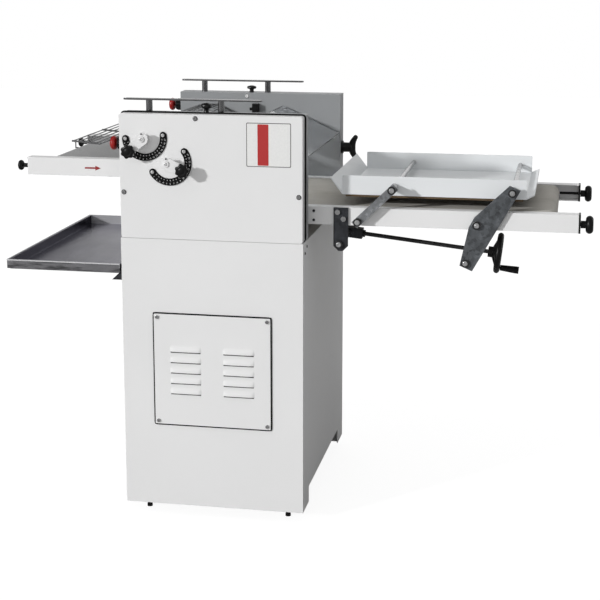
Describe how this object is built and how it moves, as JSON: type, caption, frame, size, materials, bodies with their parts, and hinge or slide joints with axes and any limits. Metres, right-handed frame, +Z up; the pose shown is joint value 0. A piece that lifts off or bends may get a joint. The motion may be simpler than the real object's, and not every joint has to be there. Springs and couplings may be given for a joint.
{
  "type": "baguette moulder",
  "caption": "Free-standing dough moulder with an infeed belt, sheeting rollers set by dial levers, and an outfeed belt under a height-adjustable pressure board on a cabinet base.",
  "frame": {"origin": "on the floor under the middle of the whole machine", "axes": "+X toward the outfeed end, +Y toward the rear, +Z up"},
  "size_m": [1.9035, 0.892, 1.391],
  "materials": {
    "white_paint": "satin powder coat",
    "grey_paint": "fine grey paint",
    "seal_rubber": "matt",
    "bright_steel": "zinc plated",
    "link_steel": "zinc plated",
    "dark_zinc": "mottled galvanised",
    "black_steel": "blackened",
    "motor_iron": "painted",
    "roller_cover": "smooth",
    "drum_alloy": "turned",
    "black_plastic": "moulded",
    "dial_black": "black anodised",
    "red_plastic": "moulded",
    "clear_sheet": "clear",
    "infeed_belting": "woven",
    "outfeed_belting": "woven",
    "brown_felt": "felt",
    "stainless": "stainless sheet"
  },
  "bodies": {
    "machine": {"base_cabinet": "white_paint", "access_gasket": "seal_rubber", "access_panel": "white_paint", "panel_screws": "bright_steel", "levelling_feet": "seal_rubber", "gear_motor": "motor_iron", "front_housing": "grey_paint", "cover_gasket": "seal_rubber", "front_cover": "white_paint", "dial_scales": "dial_black", "rear_housing": "grey_paint", "rear_cover": "white_paint", "tray_bars": "bright_steel", "roof_guard": "clear_sheet", "guard_strips": "grey_paint", "interlock_switch": "black_plastic", "estop_collars": "black_plastic", "infeed_rails": "white_paint", "slider_beds": "bright_steel", "infeed_belt": "infeed_belting", "outfeed_rails": "white_paint", "outfeed_belt": "outfeed_belting", "outfeed_end_caps": "black_plastic", "anchor_brackets": "dark_zinc", "pivot_bolts": "bright_steel", "tray_brackets": "dark_zinc"},
    "gap_lever_one": {"gap_lever_1": "white_paint"},
    "gap_lever_two": {"gap_lever_2": "white_paint"},
    "star_knob_one": {"star_knob_1": "black_plastic"},
    "star_knob_two": {"star_knob_2": "black_plastic"},
    "upper_blocks": {"upper_bearings": "motor_iron"},
    "roller_upper": {"upper_roller": "roller_cover"},
    "second_blocks": {"second_bearings": "motor_iron"},
    "roller_second": {"second_roller": "roller_cover"},
    "roller_lower": {"lower_roller": "roller_cover"},
    "guard": {"wire_guard": "bright_steel"},
    "lock_front": {"lock_knob_front": "black_plastic"},
    "lock_rear": {"lock_knob_rear": "black_plastic"},
    "stop_front": {"estop_button_front": "red_plastic"},
    "stop_rear": {"estop_button_rear": "red_plastic"},
    "wing": {"wing_knob": "black_plastic"},
    "drum_in_tail": {"infeed_tail_roller": "drum_alloy"},
    "drum_in_drive": {"infeed_drive_roller": "drum_alloy"},
    "drum_out_tail": {"outfeed_tail_roller": "drum_alloy"},
    "drum_out_drive": {"outfeed_drive_roller": "drum_alloy"},
    "tension_in_front": {"infeed_knob_front": "black_plastic"},
    "tension_in_rear": {"infeed_knob_rear": "black_plastic"},
    "tension_out_front": {"outfeed_knob_front": "black_plastic"},
    "tension_out_rear": {"outfeed_knob_rear": "black_plastic"},
    "levers": {"board_levers": "dark_zinc"},
    "board": {"pressure_board": "white_paint", "board_felt": "brown_felt", "board_rods": "bright_steel"},
    "links": {"board_links": "link_steel"},
    "nut": {"nut_bar": "dark_zinc"},
    "anchor": {"anchor_block": "dark_zinc"},
    "spindle": {"spindle_rod": "black_steel", "handwheel": "black_plastic"},
    "grip": {"crank_grip": "black_plastic"},
    "tray": {"catch_tray": "stainless"}
  },
  "joints": [
    {"name": "gap_lever_1_turn", "type": "hinge", "parent": "machine", "child": "gap_lever_one", "pos_m": [-0.469, -0.389, 1.27], "axis": [0, -1, 0], "range_deg": [-28, 134]},
    {"name": "star_knob_1_pull", "type": "slide", "parent": "gap_lever_one", "child": "star_knob_one", "axis": [0, -1, 0], "range_m": [0, 0.008], "stiffness_N_per_m": 300},
    {"name": "upper_gap", "type": "slide", "parent": "machine", "child": "upper_blocks", "axis": [0, 0, 1], "range_m": [-0.00197, 0.00974]},
    {"name": "upper_roller_spin", "type": "hinge", "parent": "upper_blocks", "child": "roller_upper", "pos_m": [-0.439, 0.032, 1.235], "axis": [0, -1, 0], "continuous": true},
    {"name": "gap_lever_2_turn", "type": "hinge", "parent": "machine", "child": "gap_lever_two", "pos_m": [-0.389, -0.389, 1.192], "axis": [0, -1, 0], "range_deg": [-119, 43]},
    {"name": "star_knob_2_pull", "type": "slide", "parent": "gap_lever_two", "child": "star_knob_two", "axis": [0, -1, 0], "range_m": [0, 0.008], "stiffness_N_per_m": 300},
    {"name": "second_gap", "type": "slide", "parent": "machine", "child": "second_blocks", "axis": [1, 0, 0], "range_m": [-0.00212, 0.00597]},
    {"name": "second_roller_spin", "type": "hinge", "parent": "second_blocks", "child": "roller_second", "pos_m": [-0.316, 0.032, 1.163], "axis": [0, -1, 0], "continuous": true},
    {"name": "lower_roller_spin", "type": "hinge", "parent": "machine", "child": "roller_lower", "pos_m": [-0.404, 0.032, 1.14], "axis": [0, -1, 0], "continuous": true},
    {"name": "infeed_tail_spin", "type": "hinge", "parent": "machine", "child": "drum_in_tail", "pos_m": [-0.8171, 0.032, 1.1541], "axis": [0, -1, 0], "continuous": true},
    {"name": "infeed_drive_spin", "type": "hinge", "parent": "machine", "child": "drum_in_drive", "pos_m": [-0.4909, 0.032, 1.1541], "axis": [0, -1, 0], "continuous": true},
    {"name": "outfeed_tail_spin", "type": "hinge", "parent": "machine", "child": "drum_out_tail", "pos_m": [0.8121, 0.032, 1.0186], "axis": [0, -1, 0], "continuous": true},
    {"name": "outfeed_drive_spin", "type": "hinge", "parent": "machine", "child": "drum_out_drive", "pos_m": [-0.3471, 0.032, 1.0186], "axis": [0, -1, 0], "continuous": true},
    {"name": "guard_lift", "type": "hinge", "parent": "machine", "child": "guard", "pos_m": [-0.349, 0.032, 1.276], "axis": [0, 1, 0], "range_deg": [0, 60]},
    {"name": "lock_front_turn", "type": "hinge", "parent": "machine", "child": "lock_front", "pos_m": [-0.279, -0.329, 1.347], "axis": [0, 0, 1], "continuous": true},
    {"name": "lock_rear_turn", "type": "hinge", "parent": "machine", "child": "lock_rear", "pos_m": [-0.291, 0.387, 1.347], "axis": [0, 0, 1], "continuous": true},
    {"name": "stop_front_press", "type": "slide", "parent": "machine", "child": "stop_front", "axis": [1, 0, 0], "range_m": [0, 0.005], "stiffness_N_per_m": 600},
    {"name": "stop_rear_press", "type": "slide", "parent": "machine", "child": "stop_rear", "axis": [1, 0, 0], "range_m": [0, 0.005], "stiffness_N_per_m": 600},
    {"name": "wing_turn", "type": "hinge", "parent": "machine", "child": "wing", "pos_m": [0.046, 0.387, 1.151], "axis": [1, 0, 0], "continuous": true},
    {"name": "tension_in_front_turn", "type": "hinge", "parent": "machine", "child": "tension_in_front", "pos_m": [-0.907, -0.269, 1.152], "axis": [-1, 0, 0], "continuous": true},
    {"name": "tension_in_rear_turn", "type": "hinge", "parent": "machine", "child": "tension_in_rear", "pos_m": [-0.907, 0.333, 1.152], "axis": [-1, 0, 0], "continuous": true},
    {"name": "tension_out_front_turn", "type": "hinge", "parent": "machine", "child": "tension_out_front", "pos_m": [0.906, -0.269, 1.014], "axis": [1, 0, 0], "continuous": true},
    {"name": "tension_out_rear_turn", "type": "hinge", "parent": "machine", "child": "tension_out_rear", "pos_m": [0.906, 0.333, 1.014], "axis": [1, 0, 0], "continuous": true},
    {"name": "anchor_swing", "type": "hinge", "parent": "machine", "child": "anchor", "pos_m": [0.148, 0.032, 0.927], "axis": [0, -1, 0], "range_deg": [-1, 1]},
    {"name": "spindle_turn", "type": "hinge", "parent": "anchor", "child": "spindle", "pos_m": [0.148, -0.074, 0.927], "axis": [-0.9941, 0, 0.1084], "range_deg": [-795, 637]},
    {"name": "crank_grip_spin", "type": "hinge", "parent": "spindle", "child": "grip", "pos_m": [0.64471, -0.074, 0.82353], "axis": [-0.9941, 0, 0.1084], "continuous": true},
    {"name": "lever_swing", "type": "hinge", "parent": "machine", "child": "levers", "pos_m": [0.59, 0.032, 1.0065], "axis": [0, -1, 0], "range_deg": [-10, 8]},
    {"name": "board_level", "type": "hinge", "parent": "levers", "child": "board", "pos_m": [0.699, 0.032, 1.1125], "axis": [0, -1, 0], "range_deg": [-8.1, 10.1]},
    {"name": "link_swing", "type": "hinge", "parent": "machine", "child": "links", "pos_m": [0.212, 0.032, 1.0065], "axis": [0, -1, 0], "range_deg": [-10.1, 8.1]},
    {"name": "nut_swing", "type": "hinge", "parent": "levers", "child": "nut", "pos_m": [0.556, 0.032, 0.8825], "axis": [0, -1, 0], "range_deg": [-8.7, 10.8]},
    {"name": "tray_lift", "type": "slide", "parent": "machine", "child": "tray", "axis": [0, 0, 1], "range_m": [0, 0.12]}
  ],
  "couplings": [
    {"joint": "gap_lever_1_turn", "follows": "upper_gap", "rad_per_m": 238.1},
    {"joint": "gap_lever_2_turn", "follows": "second_gap", "rad_per_m": -344.83},
    {"joint": "upper_roller_spin", "follows": "lower_roller_spin", "ratio": -1},
    {"joint": "second_roller_spin", "follows": "lower_roller_spin", "ratio": -1.1},
    {"joint": "infeed_tail_spin", "follows": "lower_roller_spin", "ratio": 1.8723},
    {"joint": "infeed_drive_spin", "follows": "lower_roller_spin", "ratio": 1.8723},
    {"joint": "outfeed_tail_spin", "follows": "lower_roller_spin", "ratio": 1.8723},
    {"joint": "outfeed_drive_spin", "follows": "lower_roller_spin", "ratio": 1.8723},
    {"joint": "spindle_turn", "follows": "lever_swing", "ratio": 79},
    {"joint": "board_level", "follows": "lever_swing", "ratio": -1},
    {"joint": "link_swing", "follows": "lever_swing", "ratio": 1},
    {"joint": "nut_swing", "follows": "lever_swing", "ratio": -1.055},
    {"joint": "anchor_swing", "follows": "lever_swing", "ratio": -0.055}
  ]
}
